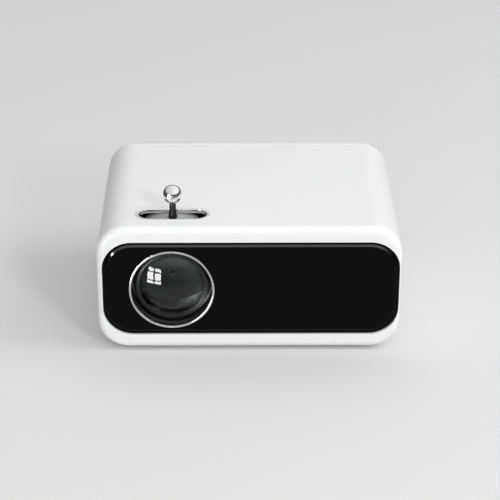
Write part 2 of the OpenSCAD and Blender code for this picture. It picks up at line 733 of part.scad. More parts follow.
module main_board() color("darkgreen") difference() {
    box(board_x0, board_x1, board_y, board_back, foot_h + 6.5, foot_h + 55.5);
    for (p = board_holes) slab(p[0], p[1], board_y - 1, 4) circle(r = pilot_r, $fn = 24);
}

module board_screws() color("dimgray") {
    for (p = board_holes) along_y(p[0], p[1], board_back) mirror([0, 0, 1]) screw(5);
}

module hdmi_port() color("silver") difference() {
    slab(hdmi_x, port_z, board_back, 16) polygon([[-7.5, 2.8], [7.5, 2.8], [7.5, -0.6],
        [5.7, -2.8], [-5.7, -2.8], [-7.5, -0.6]]);
    difference() {
        slab(hdmi_x, port_z, board_back + 5, 16) polygon([[-7.1, 2.4], [7.1, 2.4], [7.1, -0.5],
            [5.5, -2.4], [-5.5, -2.4], [-7.1, -0.5]]);
        slab(hdmi_x, port_z + 0.4, board_back, 14.5) square([11, 1], center = true);
    }
}

module usb_port() color("silver") difference() {
    slab(usb_x, port_z, board_back, 16) square([13.2, 5.8], center = true);
    difference() {
        slab(usb_x, port_z, board_back + 4, 16) square([12.5, 5.1], center = true);
        slab(usb_x, port_z + 1, board_back, 14) square([11.4, 1.8], center = true);
    }
}

module audio_jack() color([0.1, 0.1, 0.1]) difference() {
    union() {
        slab(dc_x, audio_z, board_back, 12) square([6.6, 6.6], center = true);
        slab(dc_x, audio_z, board_back, 16) circle(r = 3, $fn = small_fn);
    }
    slab(dc_x, audio_z, board_back + 3, 16) circle(r = 1.8, $fn = small_fn);
}

module dc_inlet() color([0.08, 0.08, 0.08]) {
    difference() {
        union() {
            slab(dc_x, port_z, board_back, 13) square([9, 10.6], center = true);
            slab(dc_x, port_z, board_back, 16) circle(r = 4.2, $fn = 48);
        }
        slab(dc_x, port_z, board_back + 4, 16) circle(r = 2.8, $fn = 48);
    }
    slab(dc_x, port_z, board_back + 3, 12) circle(r = 1, $fn = small_fn);
}

module power_switch() color("silver") {
    slab(button_x, button_z, board_back, 3.5) square([6, 6], center = true);
    slab(button_x, button_z, board_back + 3, 2.6) circle(r = 1.7, $fn = small_fn);
}

module power_button() color([0.85, 0.85, 0.85]) along_y(button_x, button_z, 0) {
    translate([0, 0, rear_in_y - 0.5]) cylinder(h = rear_t + 0.4, r = button_r, $fn = 64);
    translate([0, 0, rear_in_y - 1.6]) cylinder(h = 1.4, r = button_r + 1, $fn = 64);
    translate([0, 0, board_back + 6.5])
        cylinder(h = rear_in_y - 1.5 - board_back - 6.5, r = 1.6, $fn = small_fn);
}

module ir_receiver() color([0.05, 0.05, 0.1]) {
    y = frame_y + frame_t;
    slab(ir_x, lens_z, y + 0.02, 1.2) square([14, 10], center = true);
    slab(ir_x, lens_z, y - 1.4, 1.5) square([5.4, 5.4], center = true);
    intersection() {
        along_y(ir_x, lens_z, y - 0.2) sphere(r = 1.8, $fn = small_fn);
        slab(ir_x, lens_z, y - 2.05, 1.5) square([5.4, 5.4], center = true);
    }
}

module speaker_basket() color([0.1, 0.1, 0.1]) along_y(speaker_x, lens_z, 0)
    rotate_extrude($fn = round_fn) translate([0, rear_in_y]) polygon([[15.6, -0.1],
        [speaker_r, -0.1], [speaker_r, -1.8], [11, -9.2], [8.2, -9.2], [8.2, -8], [10.4, -8],
        [15.6, -1.4]]);

module speaker_cone() color([0.2, 0.2, 0.2]) along_y(speaker_x, lens_z, 0)
    rotate_extrude($fn = round_fn) translate([0, rear_in_y]) polygon([[0, -4.6], [3, -5],
        [5, -6.3], [14.6, -1.2], [15.4, -1.2], [15.4, -1.5], [14.6, -1.6], [5.2, -7],
        [5.2, -7.8], [0, -7.8]]);

module speaker_magnet() color("silver") along_y(speaker_x, lens_z, rear_in_y - 14.3)
    cylinder(h = 5, r = 10, $fn = 64);

// ---------- build ----------

outer_sleeve();
rear_cover();
front_panel();
front_frame();
lens_trim_ring();
lens_shroud();
slot_trim();
rubber_feet();
chassis_tray();
tripod_insert();
dust_filter();
case_screws();
tray_screws();
frame_screws();
lens_mount();
retaining_clip();
mount_screws();
focus_ring();
lever_post();
lever_knob();
lens_barrel();
guide_pins();
lens_retainer();
front_lens();
middle_lens();
lens_spacer();
rear_lens();
rear_retainer();
engine_base();
engine_cover();
engine_screws();
fold_mirror();
field_lens();
lcd_frame();
lcd_panel();
collimator_lens();
heat_glass();
condenser_holder();
condenser_lens();
led_reflector();
led_module();
led_screws();
heat_sink();
exhaust_fan_frame();
exhaust_fan_rotor();
fan_screws();
small_fan_frame();
small_fan_rotor();
main_board();
board_screws();
hdmi_port();
usb_port();
audio_jack();
dc_inlet();
power_switch();
power_button();
ir_receiver();
speaker_basket();
speaker_cone();
speaker_magnet();
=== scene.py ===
import json
import math

import bmesh
import bpy
from mathutils import Matrix, Vector


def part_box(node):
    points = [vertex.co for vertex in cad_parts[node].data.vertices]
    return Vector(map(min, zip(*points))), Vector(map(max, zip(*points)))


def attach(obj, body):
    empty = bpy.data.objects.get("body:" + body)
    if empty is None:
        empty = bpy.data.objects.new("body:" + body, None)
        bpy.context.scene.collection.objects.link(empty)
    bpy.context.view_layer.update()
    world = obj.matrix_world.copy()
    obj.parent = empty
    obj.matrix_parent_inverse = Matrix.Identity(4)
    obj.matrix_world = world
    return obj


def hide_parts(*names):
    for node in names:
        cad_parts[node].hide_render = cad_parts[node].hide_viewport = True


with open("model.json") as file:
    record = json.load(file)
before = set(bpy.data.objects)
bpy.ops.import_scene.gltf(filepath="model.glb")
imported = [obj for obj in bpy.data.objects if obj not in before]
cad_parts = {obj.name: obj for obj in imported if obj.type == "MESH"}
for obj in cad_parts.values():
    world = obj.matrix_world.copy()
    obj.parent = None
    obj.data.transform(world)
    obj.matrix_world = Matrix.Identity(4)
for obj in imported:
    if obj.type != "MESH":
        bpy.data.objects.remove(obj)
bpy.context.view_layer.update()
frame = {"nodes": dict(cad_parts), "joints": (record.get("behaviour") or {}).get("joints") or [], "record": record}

MM = 0.001
NODES = frame["nodes"]


def low(node):
    return Vector(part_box(node)[0])


def high(node):
    return Vector(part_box(node)[1])


def middle(node):
    return (low(node) + high(node)) / 2


def joint(name):
    return next(j for j in frame["joints"] if j["name"] == name)


# ---------------------------------------------------------------- sizes
FRONT_Y = low("outer_sleeve").y
SEAM_Y = high("outer_sleeve").y
REAR_Y = high("rear_cover").y
BODY_LOW = low("outer_sleeve")
BODY_HIGH = high("outer_sleeve")
BODY_W = BODY_HIGH.x - BODY_LOW.x
BODY_H = BODY_HIGH.z - BODY_LOW.z
MID_Z = (BODY_HIGH.z + BODY_LOW.z) / 2
CORNER = 16 * MM
CORNER_POWER = 2.3
WALL = 2 * MM
FRONT_ROUND = 3.5 * MM
REAR_ROUND = 7 * MM
FRONT_T = 2.6 * MM
REAR_T = 2.4 * MM
PANEL_R = 14 * MM
PANEL_GAP = 0.25 * MM
PANEL_DROP = 0.6 * MM
LENS = Vector(joint("focus_turn")["pos_m"])
SEAM_GAP = 0.15 * MM
FOOT_R = 6 * MM
FOOT_RECESS_R = 6.1 * MM
FEET = [Vector((x, y, 0)) for x in (-50 * MM, 50 * MM) for y in (-42 * MM, 38 * MM)]
CASE_SCREWS = [(x, y) for x in (-35 * MM, 35 * MM) for y in (-44 * MM, 40 * MM)]
CASE_SCREW_HOLE_R = 2.5 * MM
TRIPOD_HOLE_R = 5.1 * MM
INTAKE_SLOTS = 10
INTAKE_START = 16 * MM
INTAKE_PITCH = 4 * MM
INTAKE_SLOT_W = 2.2 * MM
SHARP_ANGLE = math.radians(30)


# ---------------------------------------------------------------- mesh helpers
def finish_mesh(name, bm, smooth_angle=30):
    """Turns a bmesh into an object with outward normals and sharp edges kept."""
    bmesh.ops.remove_doubles(bm, verts=bm.verts, dist=1e-7)
    bmesh.ops.recalc_face_normals(bm, faces=bm.faces)
    mesh = bpy.data.meshes.new(name)
    bm.to_mesh(mesh)
    bm.free()
    mesh.shade_smooth()
    mesh.set_sharp_from_angle(angle=math.radians(smooth_angle))
    piece = bpy.data.objects.new(name, mesh)
    bpy.context.scene.collection.objects.link(piece)
    return piece


def add_rings(bm, rings, close_ends=True, loop=False):
    """Joins rows of points into a skin; loop joins the last row to the first."""
    rows = [[bm.verts.new(p) for p in ring] for ring in rings]
    count = len(rows[0])
    pairs = list(zip(rows, rows[1:]))
    if loop:
        pairs.append((rows[-1], rows[0]))
    for a, b in pairs:
        for i in range(count):
            k = (i + 1) % count
            bm.faces.new((a[i], a[k], b[k], b[i]))
    if close_ends and not loop:
        bm.faces.new(rows[0])
        bm.faces.new(rows[-1])


def outline(w, h, r, power=2.0, steps=16):
    """Points round a rectangle whose corners follow a superellipse, as (x, z)."""
    arc = []
    for i in range(steps + 1):
        a = math.pi / 2 * i / steps
        c, s = max(math.cos(a), 0), math.sin(a)
        arc.append((r * c ** (2 / power), r * s ** (2 / power)))
    x, z = w / 2 - r, h / 2 - r
    back = arc[::-1]
    return (
        [(x + u, z + v) for u, v in arc]
        + [(-x - u, z + v) for u, v in back]
        + [(-x - u, -z - v) for u, v in arc]
        + [(x + u, -z - v) for u, v in back]
    )


def body_ring(inset, y, steps=16):
    points = outline(BODY_W - 2 * inset, BODY_H - 2 * inset, CORNER - inset, CORNER_POWER, steps)
    return [Vector((x, y, MID_Z + z)) for x, z in points]


def cut(piece, cutters):
    """Cuts closed meshes out of a piece and removes them."""
    for tool in cutters:
        mod = piece.modifiers.new("cut", "BOOLEAN")
        mod.operation = "DIFFERENCE"
        mod.solver = "EXACT"
        mod.object = tool
    apply_modifiers(piece)
    piece.data.set_sharp_from_angle(angle=SHARP_ANGLE)
    for tool in cutters:
        bpy.data.objects.remove(tool)


def apply_modifiers(piece):
    bpy.context.view_layer.update()
    graph = bpy.context.evaluated_depsgraph_get()
    mesh = bpy.data.meshes.new_from_object(piece.evaluated_get(graph))
    piece.modifiers.clear()
    piece.data = mesh


def keep_flats_flat(piece):
    """Weights the normals by area, so that a rounded edge doesn't shade the flat beside it."""
    mod = piece.modifiers.new("flats", "WEIGHTED_NORMAL")
    mod.keep_sharp = True
    mod.weight = 100
    apply_modifiers(piece)


def prism(points, axis, start, depth):
    """A closed prism from a flat outline; axis y takes (x, z) points, axis z takes (x, y)."""
    bm = bmesh.new()
    if axis == "y":
        rings = [[Vector((x, y, z)) for x, z in points] for y in (start, start + depth)]
    else:
        rings = [[Vector((x, y, z)) for x, y in points] for z in (start, start + depth)]
    add_rings(bm, rings)
    return finish_mesh("cutter", bm)


def moved(points, x, z):
    return [(x + u, z + v) for u, v in points]


def circle(r, steps=64):
    return [(r * math.cos(2 * math.pi * i / steps), r * math.sin(2 * math.pi * i / steps))
            for i in range(steps)]


def stadium(length, width, steps=24):
    """A slot outline with round ends, long side first."""
    points = []
    for side in (1, -1):
        for i in range(steps + 1):
            a = math.radians(-90 + 180 * i / steps) + (0 if side > 0 else math.pi)
            points.append((side * (length - width) / 2 + width / 2 * math.cos(a),
                           width / 2 * math.sin(a)))
    return points


def upright(points):
    return [(-v, u) for u, v in points]


def lathe(name, profile, centre, axis="y", steps=128, smooth_angle=35):
    """Turns (radius, along) points about an axis through centre. A profile that starts and ends
    on the axis is closed there; any other is joined end to end."""
    bm = bmesh.new()
    on_axis = profile[0][0] == 0 and profile[-1][0] == 0
    rows = []
    for r, t in profile:
        ring = []
        for i in range(steps):
            a = 2 * math.pi * i / steps
            u, v = r * math.cos(a), r * math.sin(a)
            if axis == "y":
                ring.append(Vector((centre.x + u, centre.y + t, centre.z + v)))
            else:
                ring.append(Vector((centre.x + u, centre.y + v, centre.z + t)))
        rows.append(ring)
    if on_axis:
        add_rings(bm, rows[1:-1], close_ends=False)
        for end, row in ((rows[0][0], 0), (rows[-1][0], len(rows) - 3)):
            tip = bm.verts.new(end)
            bm.verts.ensure_lookup_table()
            base = row * steps
            for i in range(steps):
                bm.faces.new((bm.verts[base + i], bm.verts[base + (i + 1) % steps], tip))
    else:
        add_rings(bm, rows, loop=True)
    return finish_mesh(name, bm, smooth_angle)


def arc(cr, ct, r, start, end, steps=6):
    """Points on a circle of a lathe profile, angles in degrees."""
    return [(cr + r * math.cos(math.radians(start + (end - start) * i / steps)),
             ct + r * math.sin(math.radians(start + (end - start) * i / steps)))
            for i in range(steps + 1)]


# ---------------------------------------------------------------- materials
def new_material(name):
    mat = bpy.data.materials.new(name)
    mat.use_nodes = True
    tree = mat.node_tree
    shader = tree.nodes["Principled BSDF"]
    coords = tree.nodes.new("ShaderNodeTexCoord")
    return mat, tree, shader, coords.outputs["Object"]


def noise(tree, place, scale, detail=3.0, stretch=None):
    if stretch:
        mapping = tree.nodes.new("ShaderNodeMapping")
        mapping.inputs["Scale"].default_value = stretch
        tree.links.new(place, mapping.inputs["Vector"])
        place = mapping.outputs["Vector"]
    tex = tree.nodes.new("ShaderNodeTexNoise")
    tex.inputs["Scale"].default_value = scale
    tex.inputs["Detail"].default_value = detail
    tree.links.new(place, tex.inputs["Vector"])
    return tex.outputs["Fac"]


def spread(tree, fac, low_value, high_value, start=0.3, stop=0.7):
    """Maps a 0 to 1 pattern onto a range of values."""
    node = tree.nodes.new("ShaderNodeMapRange")
    node.inputs["From Min"].default_value = start
    node.inputs["From Max"].default_value = stop
    node.inputs["To Min"].default_value = low_value
    node.inputs["To Max"].default_value = high_value
    tree.links.new(fac, node.inputs["Value"])
    return node.outputs["Result"]


def mix_colour(tree, fac, a, b):
    node = tree.nodes.new("ShaderNodeMix")
    node.data_type = "RGBA"
    node.inputs["A"].default_value = (*a, 1)
    node.inputs["B"].default_value = (*b, 1)
    tree.links.new(fac, node.inputs["Factor"])
    return node.outputs["Result"]


def bump(tree, shader, height, strength, distance):
    node = tree.nodes.new("ShaderNodeBump")
    node.inputs["Strength"].default_value = strength
    node.inputs["Distance"].default_value = distance
    tree.links.new(height, node.inputs["Height"])
    tree.links.new(node.outputs["Normal"], shader.inputs["Normal"])


def surface(name, colour, rough, metallic=0.0, tint=0.05, patch=40, grain=2500, relief=0.05,
            rough_spread=0.06, ior=1.5, stretch=None, sheen=0.0):
    """A moulded, cast or sheet surface: slight colour and gloss variation over fine grain."""
    mat, tree, shader, place = new_material(name)
    dark = tuple(c * (1 - tint) for c in colour)
    light = tuple(min(c * (1 + tint), 1) for c in colour)
    patches = noise(tree, place, patch, 4.0)
    fine = noise(tree, place, grain, 2.0, stretch)
    tree.links.new(mix_colour(tree, spread(tree, patches, 0, 1), dark, light),
                   shader.inputs["Base Color"])
    tree.links.new(spread(tree, fine, max(rough - rough_spread, 0.01), rough + rough_spread),
                   shader.inputs["Roughness"])
    shader.inputs["Metallic"].default_value = metallic
    shader.inputs["IOR"].default_value = ior
    shader.inputs["Sheen Weight"].default_value = sheen
    bump(tree, shader, fine, relief, 0.0001)
    return mat


def turned_metal(name, colour, rough, centre, axis, pitch):
    """Metal cut on a lathe: fine rings round an axis."""
    mat, tree, shader, place = new_material(name)
    shift = tree.nodes.new("ShaderNodeMapping")
    shift.inputs["Location"].default_value = tuple(-c for c in centre)
    tree.links.new(place, shift.inputs["Vector"])
    rings = tree.nodes.new("ShaderNodeTexWave")
    rings.wave_type = "RINGS"
    rings.rings_direction = axis
    rings.inputs["Scale"].default_value = 1 / pitch
    rings.inputs["Distortion"].default_value = 0.4
    tree.links.new(shift.outputs["Vector"], rings.inputs["Vector"])
    fine = noise(tree, place, 900, 4.0)
    tree.links.new(mix_colour(tree, spread(tree, fine, 0, 1), tuple(c * 0.93 for c in colour),
                              colour), shader.inputs["Base Color"])
    tree.links.new(spread(tree, fine, rough * 0.8, rough * 1.3), shader.inputs["Roughness"])
    shader.inputs["Metallic"].default_value = 1.0
    bump(tree, shader, rings.outputs["Fac"], 0.08, 0.00002)
    return mat


def clear(name, colour, ior, gloss):
    """Coated optical glass; gloss is the share of its reflection that the coating leaves."""
    mat, tree, shader, place = new_material(name)
    dust = noise(tree, place, 300, 6.0)
    tree.links.new(spread(tree, dust, 0.0, 0.012, 0.55, 0.8), shader.inputs["Roughness"])
    dusty = tuple(c * 0.96 for c in colour)
    tree.links.new(mix_colour(tree, spread(tree, dust, 0, 1), dusty, colour),
                   shader.inputs["Base Color"])
    shader.inputs["Transmission Weight"].default_value = 1.0
    shader.inputs["IOR"].default_value = ior
    shader.inputs["Specular Tint"].default_value = (gloss, gloss, gloss, 1)
    return mat


def circuit_board(name):
    """Green solder mask with copper runs that show through it."""
    mat, tree, shader, place = new_material(name)
    brick = tree.nodes.new("ShaderNodeTexBrick")
    brick.inputs["Scale"].default_value = 260
    brick.inputs["Mortar Size"].default_value = 0.08
    brick.inputs["Color1"].default_value = (0.012, 0.09, 0.035, 1)
    brick.inputs["Color2"].default_value = (0.016, 0.12, 0.045, 1)
    brick.inputs["Mortar"].default_value = (0.05, 0.22, 0.09, 1)
    tree.links.new(place, brick.inputs["Vector"])
    tree.links.new(brick.outputs["Color"], shader.inputs["Base Color"])
    tree.links.new(spread(tree, noise(tree, place, 900), 0.25, 0.4), shader.inputs["Roughness"])
    bump(tree, shader, brick.outputs["Fac"], 0.2, 0.00003)
    return mat


def woven(name, colour, pitch):
    """Mesh cloth: two crossed sets of threads."""
    mat, tree, shader, place = new_material(name)
    threads = []
    for axis in ("X", "Y"):
        wave = tree.nodes.new("ShaderNodeTexWave")
        wave.bands_direction = axis
        wave.inputs["Scale"].default_value = 0.3 / pitch
        tree.links.new(place, wave.inputs["Vector"])
        threads.append(wave.outputs["Fac"])
    over = tree.nodes.new("ShaderNodeMath")
    over.operation = "MAXIMUM"
    tree.links.new(threads[0], over.inputs[0])
    tree.links.new(threads[1], over.inputs[1])
    height = over.outputs["Value"]
    tree.links.new(mix_colour(tree, height, tuple(c * 0.3 for c in colour), colour),
                   shader.inputs["Base Color"])
    shader.inputs["Roughness"].default_value = 0.9
    bump(tree, shader, height, 0.5, 0.0001)
    return mat


WHITE = surface("white_moulding", (0.83, 0.83, 0.835), 0.42, tint=0.008, patch=25, grain=3200,
                relief=0.035)
GLOSS = surface("gloss_front", (0.002, 0.002, 0.0022), 0.05, tint=0.2, patch=30, grain=400,
                relief=0.004, rough_spread=0.02, ior=1.17)
# A lighter, more reflective copy of the front gloss, meant only for faces that look upwards: a painted highlight
GLOSS_PAINTED_HIGHLIGHT = surface("gloss_front_painted_highlight", (0.004, 0.004, 0.0044), 0.12, tint=0.2, patch=30,
                     grain=400, relief=0.004, rough_spread=0.03, ior=1.8)
SILVER = turned_metal("turned_trim", (0.86, 0.86, 0.87), 0.16, LENS, "Y", 0.0006)
CHROME = surface("chrome_plate", (0.9, 0.9, 0.91), 0.035, metallic=1.0, tint=0.02, grain=700,
                 relief=0.004, rough_spread=0.015)
TRIM = surface("slot_trim_plate", (0.88, 0.88, 0.89), 0.12, metallic=1.0, tint=0.02, grain=900,
               relief=0.01, rough_spread=0.04)
BLACK = surface("black_moulding", (0.018, 0.018, 0.019), 0.5, tint=0.15, grain=2600, relief=0.08)
SATIN_BLACK = surface("satin_black", (0.012, 0.012, 0.012), 0.22, tint=0.2, grain=1500,
                      relief=0.02)
SHROUD = surface("shroud_satin", (0.01, 0.01, 0.01), 0.3, tint=0.2, grain=1500, relief=0.03)
BARREL = surface("barrel_anodised", (0.012, 0.012, 0.013), 0.28, tint=0.2, grain=2200,
                 relief=0.04)
DARK_GREY = surface("rotor_moulding", (0.05, 0.05, 0.052), 0.4, tint=0.1, grain=2000, relief=0.05)
FOCUS_GREY = surface("focus_satin", (0.36, 0.36, 0.36), 0.33, tint=0.04, grain=1800, relief=0.03,
                     stretch=(1, 0.15, 1))
RUBBER = surface("foot_rubber", (0.035, 0.035, 0.035), 0.8, tint=0.15, grain=1600, relief=0.3)
BRASS = surface("turned_brass", (0.72, 0.52, 0.22), 0.25, metallic=1.0, tint=0.06, grain=1500,
                relief=0.03)
STEEL = surface("zinc_steel", (0.42, 0.42, 0.44), 0.3, metallic=1.0, tint=0.08, grain=1400,
                relief=0.04)
SHEET = surface("stamped_sheet", (0.62, 0.62, 0.63), 0.28, metallic=1.0, tint=0.04, grain=1600,
                relief=0.03, stretch=(0.1, 1, 1))
ALUMINIUM = surface("extruded_aluminium", (0.6, 0.61, 0.62), 0.35, metallic=1.0, tint=0.05,
                    grain=1500, relief=0.06, stretch=(1, 0.05, 1))
MIRROR = surface("front_mirror", (0.92, 0.93, 0.94), 0.02, metallic=1.0, tint=0.01, grain=300,
                 relief=0.002, rough_spread=0.01)
BUTTON = surface("button_moulding", (0.7, 0.7, 0.705), 0.3, tint=0.01, grain=2400, relief=0.02)
REFLECTOR = surface("reflector_white", (0.85, 0.85, 0.85), 0.2, tint=0.02, grain=900, relief=0.01)
LED = surface("phosphor_board", (0.75, 0.68, 0.42), 0.45, tint=0.1, patch=300, grain=1500,
              relief=0.05)
PANEL_GLASS = surface("display_glass", (0.01, 0.012, 0.02), 0.06, tint=0.2, grain=500,
                      relief=0.005, rough_spread=0.02)
CONE = surface("pressed_paper", (0.03, 0.03, 0.03), 0.85, tint=0.2, grain=1200, relief=0.3,
               sheen=0.1)
FRONT_GLASS = clear("front_element_glass", (0.93, 0.96, 0.95), 1.62, 0.6)
LENS_GLASS = clear("coated_lens", (0.93, 0.96, 0.95), 1.62, 0.06)
PLATE_GLASS = clear("clear_plate", (0.95, 0.97, 0.97), 1.49, 0.2)
BOARD = circuit_board("solder_mask")
FILTER = woven("filter_mesh", (0.05, 0.05, 0.05), 0.0012)

SLOT_MATERIALS = {
    "white_shell": WHITE, "gloss_black": GLOSS, "trim_metal": CHROME, "matt_black": BLACK,
    "rotor_grey": DARK_GREY, "focus_grey": FOCUS_GREY, "post_black": SATIN_BLACK,
    "foot_rubber": RUBBER, "brass_insert": BRASS, "filter_foam": FILTER, "screw_steel": STEEL,
    "lens_glass": LENS_GLASS, "clear_plate": PLATE_GLASS, "mirror_face": MIRROR,
    "lcd_metal": SHEET, "lcd_glass": PANEL_GLASS, "reflector_white": REFLECTOR, "led_board": LED,
    "sink_aluminium": ALUMINIUM, "board_green": BOARD, "button_white": BUTTON, "cone_paper": CONE,
}


def dress(piece, mat):
    piece.data.materials.clear()
    piece.data.materials.append(mat)


def install(piece, node, mat, body):
    """Puts a finished piece in the place of a CAD node."""
    dress(piece, mat)
    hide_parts(node)
    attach(piece, body)


# ---------------------------------------------------------------- casing
def inset_at(x, z):
    """How far inside the body's outline a point lies, by bisection on the family of outlines."""
    ax, az = abs(x), abs(z - MID_Z)
    lo, hi = 0.0, CORNER - 1e-5
    for _ in range(40):
        i = (lo + hi) / 2
        r = CORNER - i
        u = max(ax - (BODY_W / 2 - CORNER), 0) / r
        v = max(az - (BODY_H / 2 - CORNER), 0) / r
        if u ** CORNER_POWER + v ** CORNER_POWER > 1:
            hi = i
        else:
            lo = i
    return lo


def fillet_depth(inset):
    """How far the rounded front edge falls back at a given inset."""
    if inset >= FRONT_ROUND:
        return 0.0
    return FRONT_ROUND - math.sqrt(FRONT_ROUND ** 2 - (FRONT_ROUND - inset) ** 2)


def slot_cutter():
    """The lever's slot, a little smaller than its trim."""
    trim_low, trim_high = low("slot_trim"), high("slot_trim")
    slot_mid = (trim_low + trim_high) / 2
    over = 1.9 * MM
    shape = stadium(trim_high.x - trim_low.x - over, trim_high.y - trim_low.y - over)
    return prism(moved(shape, slot_mid.x, slot_mid.y), "z", BODY_HIGH.z - 3 * MM, 5 * MM)


def underside_cutters():
    """Recesses for the feet, the holes for the tripod and the case screws, the intake slots."""
    below = BODY_LOW.z - MM
    tools = [prism(moved(circle(FOOT_RECESS_R), p.x, p.y), "z", below, 1.8 * MM) for p in FEET]
    tools.append(prism(circle(TRIPOD_HOLE_R), "z", below, 5 * MM))
    for x, y in CASE_SCREWS:
        tools.append(prism(moved(circle(CASE_SCREW_HOLE_R, 32), x, y), "z", below, 2 * MM))
    vent_low, vent_high = low("dust_filter"), high("dust_filter")
    vent_y = (vent_low.y + vent_high.y) / 2
    slot_shape = upright(stadium(vent_high.y - vent_low.y - 4 * MM, INTAKE_SLOT_W, 8))
    for i in range(INTAKE_SLOTS):
        x = INTAKE_START + INTAKE_PITCH * i
        tools.append(prism(moved(slot_shape, x, vent_y), "z", below, 5 * MM))
    return tools


def build_sleeve():
    steps = 20
    panel_low, panel_high = low("front_panel"), high("front_panel")
    panel_mid = (panel_low + panel_high) / 2
    opening = outline(panel_high.x - panel_low.x + 2 * PANEL_GAP,
                      panel_high.z - panel_low.z + 2 * PANEL_GAP, PANEL_R + PANEL_GAP, 2, steps)
    opening = moved(opening, panel_mid.x, panel_mid.z)
    side = body_ring(0, 0, steps)
    totals = [inset_at(x, z) for x, z in opening]
    lip = 0.35 * MM
    fillet_share = 0.93
    rings = [body_ring(0, SEAM_Y - SEAM_GAP, steps), body_ring(0, 0, steps),
             body_ring(0, FRONT_Y + 2 * FRONT_ROUND, steps)]
    rounds = 12
    for k in range(rounds + 1):
        share = 1 - math.sin(math.pi / 2 * (1 - k / rounds))
        ring = []
        for (x, z), p, total in zip(opening, side, totals):
            f = min(FRONT_ROUND, total) / total * share * fillet_share
            px, pz = p.x + (x - p.x) * f, p.z + (z - p.z) * f
            ring.append(Vector((px, FRONT_Y + fillet_depth(inset_at(px, pz)), pz)))
        rings.append(ring)
    for turn in (0, 30, 60, 90):
        a = math.radians(turn)
        ring = []
        for (x, z), p in zip(opening, side):
            away = Vector((p.x - x, 0, p.z - z)).normalized() * lip * (1 - math.sin(a))
            px, pz = x + away.x, z + away.z
            depth = fillet_depth(inset_at(px, pz)) + lip * (1 - math.cos(a))
            ring.append(Vector((px, FRONT_Y + depth, pz)))
        rings.append(ring)
    rings.append([Vector((x, FRONT_Y + FRONT_T, z)) for x, z in opening])
    rings.append(body_ring(WALL, FRONT_Y + FRONT_T + 0.02 * MM, steps))
    rings.append(body_ring(WALL, SEAM_Y, steps))
    rings.append(body_ring(SEAM_GAP, SEAM_Y, steps))
    bm = bmesh.new()
    add_rings(bm, rings, loop=True)
    sleeve = finish_mesh("sleeve", bm)
    cut(sleeve, [slot_cutter()] + underside_cutters())
    keep_flats_flat(sleeve)
    install(sleeve, "outer_sleeve", WHITE, "chassis")


def grille(centre, r, pitch, width):
    tools = []
    n = int(r / pitch)
    for i in range(-n, n + 1):
        chord = 2 * math.sqrt(r * r - (i * pitch) ** 2)
        if chord > 2 * width:
            tools.append(prism(moved(upright(stadium(chord, width, 10)), centre.x + i * pitch,
                                     centre.z), "y", REAR_Y - REAR_T - MM, REAR_T + 2 * MM))
    return tools


def build_rear_cover():
    steps = 20
    inner_round = REAR_ROUND - WALL
    seam = SEAM_Y + SEAM_GAP
    rings = [body_ring(WALL, seam, steps), body_ring(SEAM_GAP, seam, steps),
             body_ring(0, seam + SEAM_GAP, steps)]
    for k in range(13):
        a = math.radians(90 * k / 12)
        rings.append(body_ring(REAR_ROUND * (1 - math.cos(a)),
                               REAR_Y - REAR_ROUND * (1 - math.sin(a)), steps))
    bm = bmesh.new()
    inner = [body_ring(WALL + inner_round * (1 - math.cos(math.radians(15 * k))),
                       REAR_Y - REAR_T - inner_round * (1 - math.sin(math.radians(15 * k))), steps)
             for k in range(6, -1, -1)]
    add_rings(bm, inner + rings)
    cover = finish_mesh("rear_cap", bm)
    depth = REAR_T + 2 * MM
    y0 = REAR_Y - REAR_T - MM
    tools = grille(middle("exhaust_fan_frame"), 21.5 * MM, 4.3 * MM, 2.4 * MM)
    tools += grille(middle("speaker_basket"), 13 * MM, 3.4 * MM, 1.6 * MM)
    for port, width in (("usb_port", 13.8 * MM), ("hdmi_port", 15.6 * MM)):
        spot = middle(port)
        mouth = outline(width, 6.4 * MM, 0.6 * MM, 2, 4)
        tools.append(prism(moved(mouth, spot.x, spot.z), "y", y0, depth))
    for port, r in (("audio_jack", 3.4 * MM), ("dc_inlet", 4.5 * MM), ("power_button", 5 * MM)):
        spot = middle(port)
        tools.append(prism(moved(circle(r, 48), spot.x, spot.z), "y", y0, depth))
    cut(cover, tools)
    keep_flats_flat(cover)
    install(cover, "rear_cover", WHITE, "chassis")


def build_front_panel():
    a, b = low("front_panel"), high("front_panel")
    mid = (a + b) / 2
    w, h = b.x - a.x, b.z - a.z
    step, slope, r = 1.25 * MM, 0.95 * MM, 0.12 * MM
    ledge = a.y + PANEL_DROP
    profile = [(0, b.y), (0, ledge + r), (0.3 * r, ledge + 0.3 * r), (r, ledge), (step, ledge),
               (step + slope, a.y + 0.02 * MM), (step + slope + r, a.y)]
    rings = []
    for inset, y in profile:
        flat = outline(w - 2 * inset, h - 2 * inset, PANEL_R - inset, 2, 20)
        rings.append([Vector((x, y, z)) for x, z in moved(flat, mid.x, mid.z)])
    bm = bmesh.new()
    add_rings(bm, rings)
    panel = finish_mesh("gloss_front_panel", bm)
    hole = (high("lens_trim_ring").x - low("lens_trim_ring").x) / 2 + 0.1 * MM
    cut(panel, [prism(moved(circle(hole, 160), LENS.x, LENS.z), "y", a.y - MM, 5 * MM)])
    keep_flats_flat(panel)
    install(panel, "front_panel", GLOSS, "chassis")
    # Upward-facing chamfer faces take the lighter, more reflective copy: a painted highlight band along the top
    # edge
    panel.data.materials.append(GLOSS_PAINTED_HIGHLIGHT)
    for face in panel.data.polygons:
        if face.normal.z > 0.3 and face.center.y < ledge:
            face.material_index = 1


def build_trim_ring():
    a, b = low("lens_trim_ring"), high("lens_trim_ring")
    outer = (b.x - a.x) / 2
    inner = outer - MM
    length = b.y - a.y
    r = 0.3 * MM
    profile = ([(outer, length), (inner, length)]
               + arc(inner + r, r, r, 180, 270) + arc(outer - r, r, r, 270, 360))
    piece = lathe("lens_ring", profile, Vector((LENS.x, a.y, LENS.z)), steps=192)
    install(piece, "lens_trim_ring", SILVER, "chassis")


